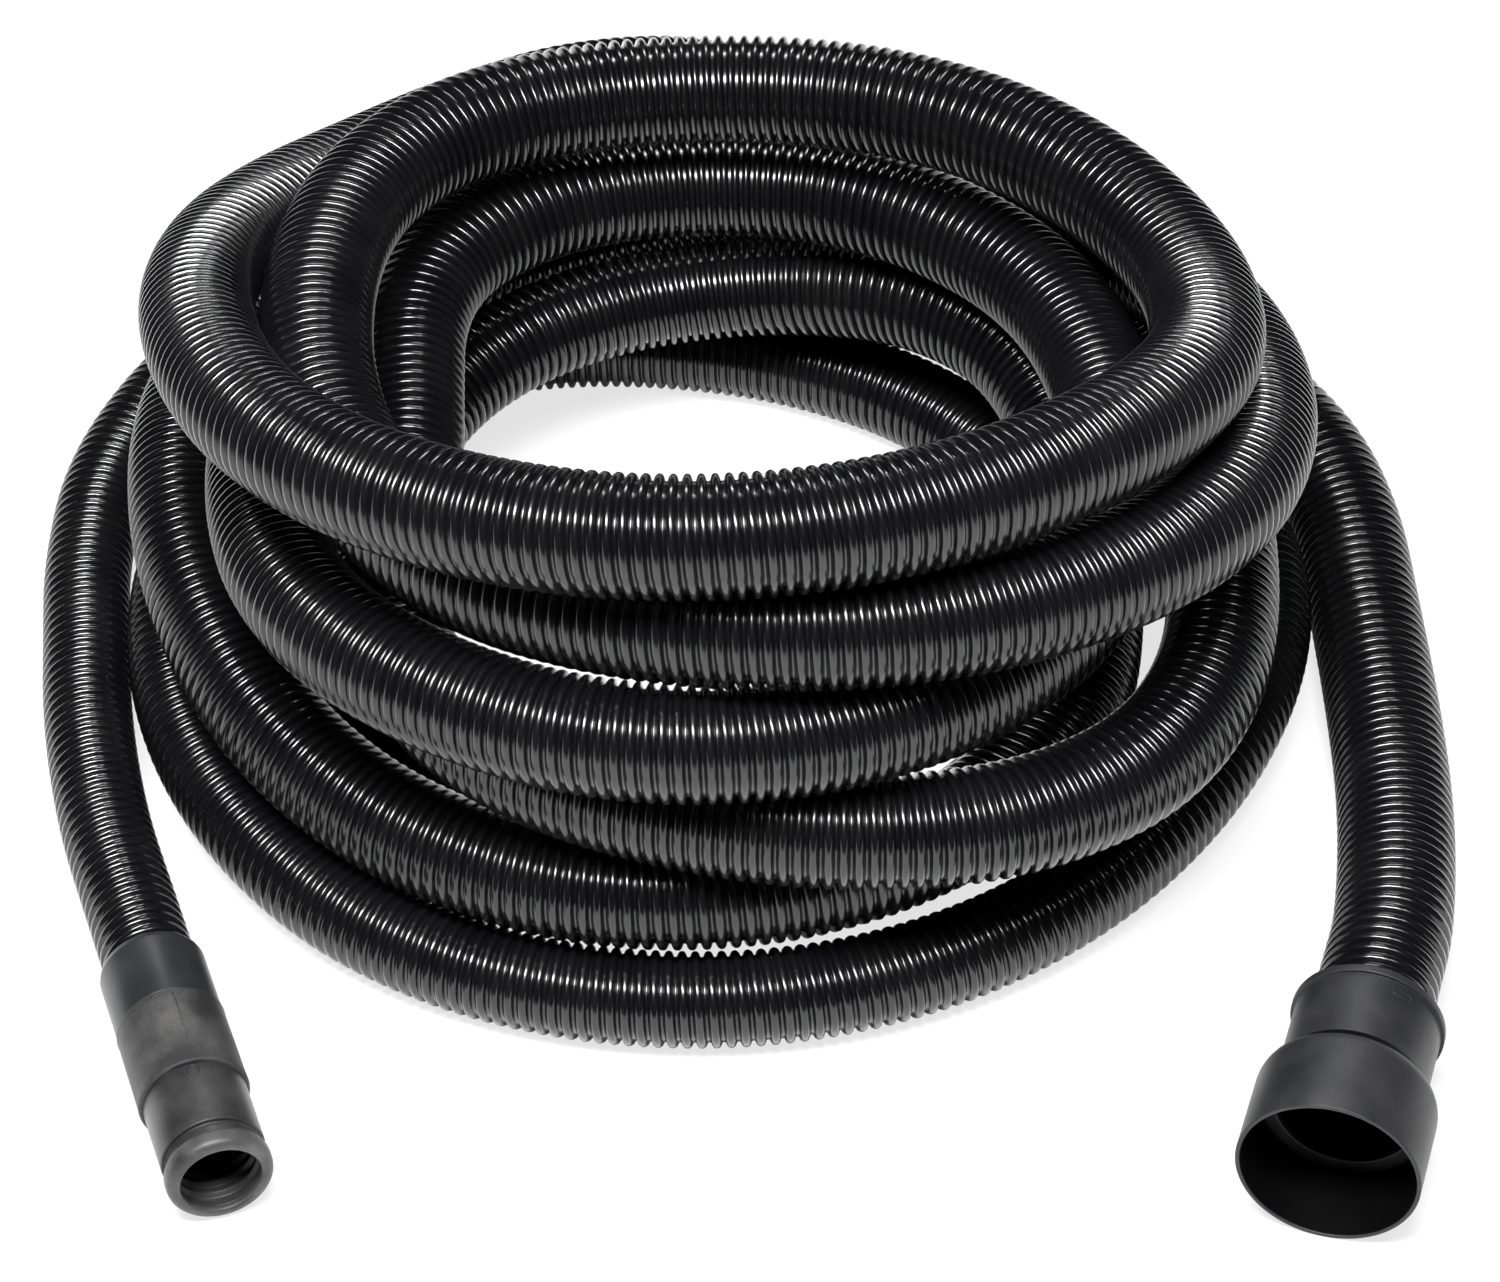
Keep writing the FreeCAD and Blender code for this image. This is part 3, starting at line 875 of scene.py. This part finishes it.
@dataclass(frozen=True)
class TurnedOutline:
    """Closed outline of a turned piece.

    Attributes:
        corners: Radius, place along the axis and rounding of each corner, in order.
        arc_steps: Facets of a rounded corner.
        hold: Distance from a sharp corner of the loops that keep it crisp.
        straight: Half angle, in degrees, from which a corner is too flat to round.
    """

    corners: tuple[Corner, ...]
    arc_steps: int = 4
    hold: float = 0.35 * MM
    straight: float = 88.0

    def points(self) -> list[Vector]:
        """Works out the outline's points, with its corners rounded.

        Returns:
            Points of radius and place along the axis.
        """
        places = [Vector(corner[:2]) for corner in self.corners]
        points: list[Vector] = []
        for index, here in enumerate(places):
            before = places[index - 1]
            after = places[(index + 1) % len(places)]
            back = (before - here).normalized()
            ahead = (after - here).normalized()
            rounding = self.corners[index][2]
            half = back.angle(ahead) / 2
            if rounding == 0 or half > math.radians(self.straight):
                points += self.held(here, before, after)
                continue
            trim = rounding / math.tan(half)
            centre = here + (back + ahead).normalized() * (rounding / math.sin(half))
            first = here + back * trim - centre
            last = here + ahead * trim - centre
            sweep = first.angle(last)
            for step in range(self.arc_steps + 1):
                share = step / self.arc_steps
                from_first = first * math.sin((1 - share) * sweep)
                from_last = last * math.sin(share * sweep)
                points.append(centre + (from_first + from_last) / math.sin(sweep))
        return points

    def held(self, here: Vector, before: Vector, after: Vector) -> list[Vector]:
        """Puts a loop on each side of a sharp corner.

        Args:
            here: The corner.
            before: The corner before it.
            after: The corner after it.

        Returns:
            The corner between its two loops.
        """
        back, ahead = before - here, after - here
        near = min(self.hold, back.length / 4)
        far = min(self.hold, ahead.length / 4)
        return [here + back.normalized() * near, here, here + ahead.normalized() * far]


def new_piece(name: str, mesh: bpy.types.Mesh) -> bpy.types.Object:
    """Puts a mesh into the scene as an object at the origin.

    Args:
        name: Name of the object.
        mesh: Its mesh.

    Returns:
        The object.
    """
    piece = bpy.data.objects.new(name, mesh)
    bpy.context.scene.collection.objects.link(piece)
    return piece


def finish_mesh(graph: bmesh.types.BMesh, name: str, material: bpy.types.Material) -> bpy.types.Mesh:
    """Turns a finished bmesh into a smooth mesh with its faces outwards.

    Args:
        graph: The geometry, freed at the end.
        name: Name of the mesh.
        material: Its finish.

    Returns:
        The mesh.
    """
    bmesh.ops.remove_doubles(graph, verts=graph.verts, dist=1e-7)
    bmesh.ops.recalc_face_normals(graph, faces=graph.faces)
    for face in graph.faces:
        face.smooth = True
    mesh = bpy.data.meshes.new(name)
    graph.to_mesh(mesh)
    graph.free()
    mesh.materials.append(material)
    return mesh


def add_turned(graph: bmesh.types.BMesh, outline: TurnedOutline, place: Matrix, segments: int) -> None:
    """Turns an outline round a cuff's axis.

    Args:
        graph: Geometry to add to.
        outline: The closed outline.
        place: Frame whose Z is the axis.
        segments: Facets round the axis.
    """
    points = outline.points()
    rings = []
    for segment in range(segments):
        angle = 2 * math.pi * segment / segments
        side = Vector((math.cos(angle), math.sin(angle), 0))
        rings.append([graph.verts.new(place @ (side * p.x + Vector((0, 0, p.y)))) for p in points])
    for ring, following in zip(rings, rings[1:] + rings[:1]):
        for index in range(len(points)):
            after = (index + 1) % len(points)
            graph.faces.new((ring[index], following[index], following[after], ring[after]))


def add_bead(graph: bmesh.types.BMesh, spots: Sequence[tuple[Vector, Vector]], radius: float) -> None:
    """Lays a closed bead of round section along a closed path on a surface.

    Args:
        graph: Geometry to add to.
        spots: Each point of the path, with the surface's normal there.
        radius: Radius of the bead.
    """
    turn = [2 * math.pi * facet / BEAD_SIDES for facet in range(BEAD_SIDES)]
    rings = []
    for index, (here, normal) in enumerate(spots):
        ahead = (spots[(index + 1) % len(spots)][0] - spots[index - 1][0]).normalized()
        side = ahead.cross(normal).normalized()
        spokes = [normal * math.cos(angle) + side * math.sin(angle) for angle in turn]
        rings.append([graph.verts.new(here + spoke * radius) for spoke in spokes])
    for ring, following in zip(rings, rings[1:] + rings[:1]):
        for facet in range(BEAD_SIDES):
            after = (facet + 1) % BEAD_SIDES
            graph.faces.new((ring[facet], ring[after], following[after], following[facet]))


@dataclass
class Cuff:
    """What both cuffs share: their place, their finishes and how a piece is handed over."""

    axis: CuffAxis
    finishes: Finishes
    body: str = ""
    segments: int = 144

    def on_surface(self, radius: float, angle: float, along: float) -> tuple[Vector, Vector]:
        """Point on a cylinder round the axis, and the way out there.

        Args:
            radius: Radius of the cylinder.
            angle: Angle from the top, in radians, positive to the right as the mouth is faced.
            along: Distance from the cuff's back face.

        Returns:
            The point and the normal.
        """
        place = self.axis.matrix()
        outward = Vector((-math.sin(angle), math.cos(angle), 0.0))
        point = place @ (outward * radius + Vector((0, 0, along)))
        return point, (place.to_3x3() @ outward).normalized()

    def hand_over(
        self, graph: bmesh.types.BMesh, name: str, finish: Finish, node: str, slot: str
    ) -> bpy.types.Object:
        """Makes a piece of the geometry and lets it stand for a node.

        Args:
            graph: Its geometry.
            name: Name of the piece.
            finish: Its finish.
            node: The node that it stands for.
            slot: Not used.

        Returns:
            The piece.
        """
        piece = new_piece(name, finish_mesh(graph, name, finish.build()))
        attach(piece, self.body)
        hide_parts(node)
        log.info("%s: %d faces", name, len(piece.data.polygons))
        return piece

    def turn(self, corners: Sequence[Corner]) -> bmesh.types.BMesh:
        """Turns a piece round the cuff's axis.

        Args:
            corners: Its outline's corners, in millimetres.

        Returns:
            The geometry.
        """
        scaled = tuple((radius * MM, along * MM, rounding * MM) for radius, along, rounding in corners)
        graph = bmesh.new()
        add_turned(graph, TurnedOutline(scaled), self.axis.matrix(), self.segments)
        return graph

    def keep(self, nodes: dict[str, Finish]) -> None:
        """Gives carried-over nodes their finishes.

        Args:
            nodes: The finish of each node by its name.
        """
        for node, finish in nodes.items():
            material = finish.build()
            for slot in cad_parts[node].material_slots:
                slot.material = material


@dataclass
class ToolCuff(Cuff):
    """Slim cuff at the tool end: hard collar, rubber sleeve, nozzle and a bullnose lip.

    Its sizes are in millimetres, and places along it count from its back face.
    """

    body: str = TOOL_BODY
    collar_radius: float = 18.25
    collar_length: float = 29.0
    collar_bore: float = 17.05
    collar_inside: float = 26.0
    back_opening: float = 16.45
    back_radius: float = 17.5
    back_slope: float = 2.4
    back_lip: float = 2.5
    sleeve_radius: float = 18.75
    sleeve_front: float = 64.0
    sleeve_flare: float = 0.2
    sleeve_waist: float = 2.6
    sleeve_rim: float = 4.0
    seam_angles: tuple[float, float] = (-0.09, math.pi - 0.09)
    seam_half_width: float = 0.010
    seam_margin: float = 1.5
    seam_sunk: float = 0.12
    seam_bead: float = 0.16
    nozzle_radius: float = 17.6
    tube_radius: float = 15.6
    bore: float = 13.5
    nub_at: float = 3.0
    nub_radius: float = 1.9
    nub_steps: int = 20
    nub_bead: float = 0.32
    groove_back: float = 90.4
    groove_front: float = 94.6
    groove_radius: float = 16.0
    lip_radius: float = 18.0
    lip_front_wall: float = 2.2
    mouth: float = 102.0
    ridges: int = 7
    ridge_pitch: float = 4.8
    ridge_start: float = 4.6
    ridge_rounding: float = 0.5
    ridge_corners: tuple[tuple[float, float], ...] = ((0.0, 0.0), (1.5, 1.0), (1.5, 2.4), (0.0, 3.6))

    def build(self) -> None:
        """Makes the cuff's pieces."""
        self.add_collar()
        self.add_sleeve()
        self.add_nozzle()
        self.add_lip()
        self.keep({"tool_bush": self.finishes.inner, "tool_snap_ring": self.finishes.wire})

    def add_collar(self) -> None:
        """Hard collar with a rounded back edge, open behind for the hose."""
        graph = self.turn(
            (
                (self.back_opening, 0, 0.2),
                (self.back_radius, 0, 0.7),
                (self.collar_radius, self.back_slope, 1.8),
                (self.collar_radius, self.collar_length, 0.35),
                (self.tube_radius, self.collar_length, 0),
                (self.tube_radius, self.collar_inside, 0),
                (self.collar_bore, self.collar_inside, 0),
                (self.collar_bore, self.back_lip, 0),
                (self.back_opening, self.back_lip, 0),
            )
        )
        self.hand_over(graph, "hard_collar", self.finishes.collar, "tool_collar", "collar")

    def add_sleeve(self) -> None:
        """Rubber sleeve with the thin seams of its mould, above and below."""
        graph = self.turn(
            (
                (self.tube_radius, self.collar_length, 0),
                (self.sleeve_radius, self.collar_length, 0.7),
                (self.sleeve_radius - self.sleeve_flare, self.collar_length + self.sleeve_waist, 1.5),
                (self.sleeve_radius, self.sleeve_front - self.sleeve_rim, 2.0),
                (self.sleeve_radius + self.sleeve_flare, self.sleeve_front, 0.9),
                (self.tube_radius, self.sleeve_front, 0),
            )
        )
        for angle in self.seam_angles:
            self.add_seam(graph, angle)
        self.hand_over(graph, "rubber_sleeve", self.finishes.sleeve, "tool_sleeve", "sleeve_rubber")

    def add_seam(self, graph: bmesh.types.BMesh, angle: float) -> None:
        """Lays a thin mould seam along the sleeve.

        Args:
            graph: The sleeve's geometry.
            angle: Angle of the seam from the top.
        """
        width = self.seam_half_width
        start, end = self.collar_length + self.seam_margin, self.sleeve_front - self.seam_margin
        radius = (self.sleeve_radius - self.seam_sunk) * MM
        corners = ((-width, start), (width, start), (width, end), (-width, end))
        spots = [self.on_surface(radius, angle + turn, along * MM) for turn, along in corners]
        add_bead(graph, spots, self.seam_bead * MM)

    def add_nozzle(self) -> None:
        """Nozzle with a nub on top, a groove behind the lip and ridges in the bore."""
        lip_back = self.mouth - self.lip_front_wall
        outline: list[Corner] = [
            (self.bore, self.collar_inside, 0),
            (self.tube_radius, self.collar_inside, 0),
            (self.tube_radius, self.sleeve_front, 0),
            (self.nozzle_radius, self.sleeve_front, 0.3),
            (self.nozzle_radius, self.groove_back, 0.5),
            (self.groove_radius, self.groove_back, 0),
            (self.groove_radius, self.groove_front, 0),
            (self.tube_radius, self.groove_front, 0),
            (self.tube_radius, lip_back, 0),
            (self.bore, lip_back, 0),
        ]
        front = self.mouth - self.ridge_start
        for ridge in range(self.ridges):
            edge = front - ridge * self.ridge_pitch
            for depth, behind in self.ridge_corners:
                outline.append((self.bore + depth, edge - behind, self.ridge_rounding))
        graph = self.turn(outline)
        self.add_nub(graph)
        self.hand_over(graph, "nozzle_tube", self.finishes.nozzle, "tool_nozzle", "nozzle")

    def add_nub(self, graph: bmesh.types.BMesh) -> None:
        """Lays the nub's round outline on top of the nozzle.

        Args:
            graph: The nozzle's geometry.
        """
        middle = self.sleeve_front + self.nub_at
        spots = []
        for step in range(self.nub_steps):
            turn = 2 * math.pi * step / self.nub_steps
            angle = self.nub_radius * math.sin(turn) / self.nozzle_radius
            along = middle + self.nub_radius * math.cos(turn)
            spots.append(self.on_surface(self.nozzle_radius * MM, angle, along * MM))
        add_bead(graph, spots, self.nub_bead * MM)

    def add_lip(self) -> None:
        """Bullnose rubber lip round the mouth."""
        lip_back = self.mouth - self.lip_front_wall
        graph = self.turn(
            (
                (self.tube_radius, self.groove_front, 0),
                (self.lip_radius, self.groove_front, 1.8),
                (self.lip_radius, self.mouth, 3.2),
                (self.bore, self.mouth, 1.1),
                (self.bore, lip_back, 0),
                (self.tube_radius, lip_back, 0),
            )
        )
        self.hand_over(graph, "bullnose_lip", self.finishes.lip, "tool_lip", "lip_rubber")


@dataclass
class MachineCuff(Cuff):
    """Wide cuff at the machine end: barrel, shoulder and a thin wide mouth.

    Its sizes are in millimetres, and places along it count from its back face.
    """

    body: str = MACHINE_BODY
    rim_radius: float = 26.0
    rim_length: float = 3.0
    barrel_radius: float = 24.75
    barrel_length: float = 30.0
    barrel_bore: float = 24.05
    shoulder_front: float = 37.5
    shoulder_step: float = 0.2
    flare_back: float = 31.0
    flare_radius: float = 27.2
    mouth_radius: float = 30.5
    mouth: float = 71.0
    bore: float = 29.0
    bore_margin: float = 0.05
    # Strip of the bore at the mouth that is left out of the painted shade.
    lit_rim: float = 0.5
    bush_seat_radius: float = 24.85
    bush_seat_depth: float = 2.0
    bush_bore: float = 23.15
    bush_front: float = 19.0
    window_at: float = 7.2
    window_angle: float = 26.0
    window_size: tuple[float, float] = (6.8, 2.3)
    window_corner: float = 0.7
    window_steps: int = 4
    window_bead: float = 0.42
    ring_back: float = 40.0
    ring_front: float = 42.4
    ring_radius: float = 28.2
    ring_bore: float = 23.5

    def build(self) -> None:
        """Makes the cuff's pieces."""
        self.add_shell()
        self.add_stop_ring()
        self.keep({"machine_bush": self.finishes.inner, "machine_snap_ring": self.finishes.wire})

    def add_shell(self) -> None:
        """Shell with a convex shoulder, open at the back for the bush."""
        graph = self.turn(
            (
                (self.bush_seat_radius, 0, 0.2),
                (self.rim_radius, 0, 0.4),
                (self.rim_radius, self.rim_length, 0.5),
                (self.barrel_radius, self.rim_length, 0.25),
                (self.barrel_radius, self.barrel_length, 0.25),
                (self.mouth_radius - self.shoulder_step, self.shoulder_front, 10.0),
                (self.mouth_radius, self.mouth, 0.45),
                (self.bore, self.mouth, 0.45),
                (self.bore, self.ring_front, 0),
                (self.ring_radius, self.ring_front, 0),
                (self.ring_radius, self.ring_back, 0),
                (self.flare_radius, self.ring_back, 0),
                (self.barrel_bore, self.flare_back, 0.5),
                (self.barrel_bore, self.bush_front, 0),
                (self.bush_bore, self.bush_front, 0),
                (self.bush_bore, self.bush_seat_depth, 0),
                (self.bush_seat_radius, self.bush_seat_depth, 0),
            )
        )
        self.add_window(graph)
        shell = self.hand_over(graph, "cuff_shell", self.finishes.shell, "machine_shell", "shell")
        # Painted shade: the bore's faces get the near-black material.
        self.paint_bore_shade(shell)

    def add_stop_ring(self) -> None:
        """Ring in the shell's wall that stops the machine's port."""
        graph = self.turn(
            (
                (self.ring_bore, self.ring_back, 0.3),
                (self.ring_radius, self.ring_back, 0),
                (self.ring_radius, self.ring_front, 0),
                (self.ring_bore, self.ring_front, 0.6),
            )
        )
        self.hand_over(graph, "port_stop_ring", self.finishes.inner, "machine_stop_ring", "inner_plastic")

    def paint_bore_shade(self, shell: bpy.types.Object) -> None:
        """Paints shade into the inside of the shell: the bore between the barrel and the mouth's rim gets
        a near-black material that barely reflects, for the shade that falls in there.

        Args:
            shell: The cuff's shell.
        """
        shell.data.materials.append(self.finishes.bore.build())
        into_cuff = self.axis.matrix().inverted()
        widest = (self.bore + self.bore_margin) * MM
        back, front = self.barrel_length * MM, (self.mouth - self.lit_rim) * MM
        for face in shell.data.polygons:
            local = into_cuff @ face.center
            if local.xy.length < widest and back < local.z < front:
                face.material_index = 1

    def add_window(self, graph: bmesh.types.BMesh) -> None:
        """Lays the raised outline of a rounded rectangle on the barrel.

        Args:
            graph: The shell's geometry.
        """
        half_width, half_length = (size / 2 for size in self.window_size)
        corner = self.window_corner
        spots = []
        for quarter, (sideways, forwards) in enumerate(((1, 1), (-1, 1), (-1, -1), (1, -1))):
            for step in range(self.window_steps + 1):
                turn = math.pi / 2 * (quarter + step / self.window_steps)
                across = sideways * (half_width - corner) + corner * math.cos(turn)
                along = self.window_at + forwards * (half_length - corner) + corner * math.sin(turn)
                angle = -math.radians(self.window_angle) + across / self.barrel_radius
                spots.append(self.on_surface(self.barrel_radius * MM, angle, along * MM))
        add_bead(graph, spots, self.window_bead * MM)


@dataclass(frozen=True)
class Softbox:
    """A rectangular lamp that looks at the middle of the pile.

    Attributes:
        name: Name of the lamp.
        azimuth: Degrees from the front, positive to the right.
        elevation: Degrees above the floor.
        distance: Distance from the middle of the pile.
        size: Its width and height.
        power: Its power in watts.
    """

    name: str
    azimuth: float
    elevation: float
    distance: float
    size: tuple[float, float]
    power: float


@dataclass(frozen=True)
class Studio:
    """Pale floor, soft lamps and the camera."""

    target: tuple[float, float, float] = (0.0, 0.0, 0.08)
    floor_color: tuple[float, float, float] = (0.93, 0.93, 0.93)
    floor_size: float = 12.0
    floor_roughness: float = 0.9
    floor_specular: float = 0.1
    floor_glow: float = 0.75
    mirrored_glow: float = 0.1
    horizon: float = 0.3
    zenith: float = 0.06
    horizon_span: tuple[float, float] = (0.05, 0.6)
    lens: float = 120.0
    sensor_width: float = 36.0
    view_depth: float = 20.0
    camera_pitch: float = 41.5
    camera_reach: float = 1.8519
    camera_centre: tuple[float, float] = (0.0070, 0.0262)
    lamps: tuple[Softbox, ...] = (
        Softbox("key_softbox", -14.0, 64.0, 2.2, (1.1, 0.45), 126.0),
        Softbox("fill_softbox", 38.0, 58.0, 2.2, (0.35, 0.35), 10.0),
        Softbox("back_softbox", 180.0, 48.0, 2.4, (1.3, 0.3), 34.0),
    )

    def build(self) -> None:
        """Makes the floor, the world, the lamps and the camera."""
        self.add_floor()
        self.add_world()
        for lamp in self.lamps:
            self.add_lamp(lamp)
        self.add_camera()
        bpy.context.scene.view_settings.view_transform = "Standard"

    def add_floor(self) -> None:
        """Adds a plain pale floor that catches the shadow and looks white from far off."""
        mesh = bpy.data.meshes.new("floor")
        half = self.floor_size / 2
        corners = [(-half, -half, 0), (half, -half, 0), (half, half, 0), (-half, half, 0)]
        mesh.from_pydata(corners, [], [(0, 1, 2, 3)])
        floor = new_piece("floor", mesh)
        material = bpy.data.materials.new("PaleFloor")
        material.use_nodes = True
        tree = material.node_tree
        shader = tree.nodes["Principled BSDF"]
        shader.inputs["Base Color"].default_value = (*self.floor_color, 1.0)
        shader.inputs["Roughness"].default_value = self.floor_roughness
        shader.inputs["Specular IOR Level"].default_value = self.floor_specular
        glow = tree.nodes.new("ShaderNodeEmission")
        mix = tree.nodes.new("ShaderNodeMixShader")
        rays = tree.nodes.new("ShaderNodeLightPath")
        seen = math_node(tree, "MULTIPLY", rays.outputs["Is Camera Ray"], self.floor_glow)
        mirrored = math_node(tree, "MULTIPLY", rays.outputs["Is Glossy Ray"], self.mirrored_glow)
        link(tree, math_node(tree, "MAXIMUM", seen, mirrored), mix.inputs[0])
        link(tree, shader.outputs[0], mix.inputs[1])
        link(tree, glow.outputs[0], mix.inputs[2])
        link(tree, mix.outputs[0], tree.nodes["Material Output"].inputs["Surface"])
        mesh.materials.append(material)

    def add_world(self) -> None:
        """Adds a world that is white to the camera, and pale at the horizon for the rest."""
        world = bpy.data.worlds.new("StudioWorld")
        world.use_nodes = True
        tree = world.node_tree
        sky = tree.nodes["Background"]
        height = tree.nodes.new("ShaderNodeSeparateXYZ")
        link(tree, tree.nodes.new("ShaderNodeTexCoord").outputs["Generated"], height.inputs[0])
        ramp = tree.nodes.new("ShaderNodeMapRange")
        ramp.interpolation_type = "SMOOTHSTEP"
        link(tree, height.outputs["Z"], ramp.inputs["Value"])
        ramp.inputs["From Min"].default_value = self.horizon_span[0]
        ramp.inputs["From Max"].default_value = self.horizon_span[1]
        ramp.inputs["To Min"].default_value = self.horizon
        ramp.inputs["To Max"].default_value = self.zenith
        seen = tree.nodes.new("ShaderNodeLightPath").outputs["Is Camera Ray"]
        link(tree, math_node(tree, "MAXIMUM", ramp.outputs[0], seen), sky.inputs["Strength"])
        bpy.context.scene.world = world

    def add_lamp(self, lamp: Softbox) -> None:
        """Adds one softbox.

        Args:
            lamp: Its direction from the pile, size and power.
        """
        light = bpy.data.lights.new(lamp.name, "AREA")
        light.shape = "RECTANGLE"
        light.size, light.size_y = lamp.size
        light.energy = lamp.power
        holder = bpy.data.objects.new(lamp.name, light)
        turn, lift = math.radians(lamp.azimuth), math.radians(lamp.elevation)
        level = math.cos(lift)
        away = Vector((math.sin(turn) * level, -math.cos(turn) * level, math.sin(lift)))
        holder.location = Vector(self.target) + away * lamp.distance
        holder.rotation_euler = (-away).to_track_quat("-Z", "Y").to_euler()
        bpy.context.scene.collection.objects.link(holder)

    def add_camera(self) -> None:
        """Adds the camera, far off with a long lens, as the photograph was taken."""
        data = bpy.data.cameras.new("camera")
        data.lens = self.lens
        data.sensor_width = self.sensor_width
        data.clip_end = self.view_depth
        camera = bpy.data.objects.new("camera", data)
        pitch = math.radians(self.camera_pitch)
        across, along = self.camera_centre
        back = self.camera_reach * math.cos(pitch)
        camera.location = (across, along - back, self.camera_reach * math.sin(pitch))
        camera.rotation_euler = Euler((math.pi / 2 - pitch, 0.0, 0.0))
        bpy.context.scene.collection.objects.link(camera)
        bpy.context.scene.camera = camera


def main() -> None:
    """Builds the scene: camera and studio, hose, then cuffs."""
    logging.basicConfig(level=logging.INFO, format="%(name)s %(message)s")
    finishes = Finishes()
    Studio().build()
    route = HoseRoute()
    Hose(route, finishes.hose.build()).build()
    ToolCuff(route.tool_cuff, finishes).build()
    MachineCuff(route.machine_cuff, finishes).build()


if __name__ == "__main__":
    main()
